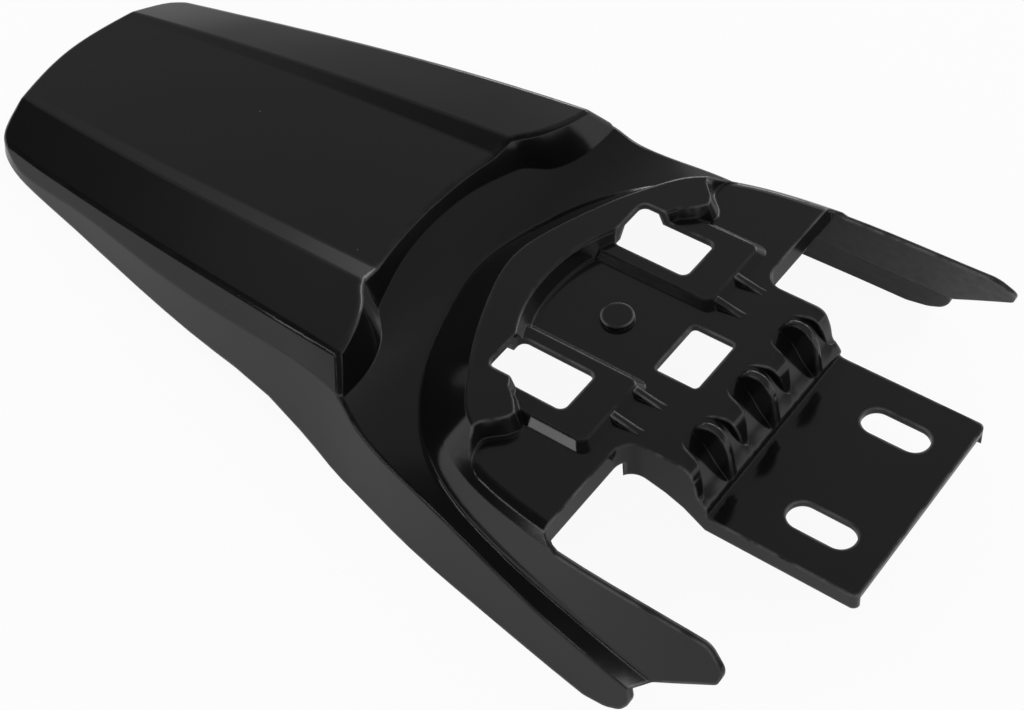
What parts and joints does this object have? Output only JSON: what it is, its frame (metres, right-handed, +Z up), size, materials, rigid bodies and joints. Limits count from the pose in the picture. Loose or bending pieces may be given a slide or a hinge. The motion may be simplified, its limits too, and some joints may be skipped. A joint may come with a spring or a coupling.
{
  "type": "motorcycle rear fender",
  "caption": "Black moulded rear fender of a light off-road motorcycle, with a flat slotted mounting plate, a horseshoe collar round a sunken deck, side arms and a raised tail shell.",
  "frame": {"origin": "middle of the mounting plate's front edge, on the plate's flat top face", "axes": "+X towards the front of the motorcycle, where the mounting plate ends, +Y to its left side, +Z up out of the plate's top face"},
  "size_m": [0.3967, 0.213, 0.0622],
  "materials": {
    "plastic": "gloss"
  },
  "bodies": {
    "root": {"rear_fender": "plastic"}
  },
  "joints": []
}
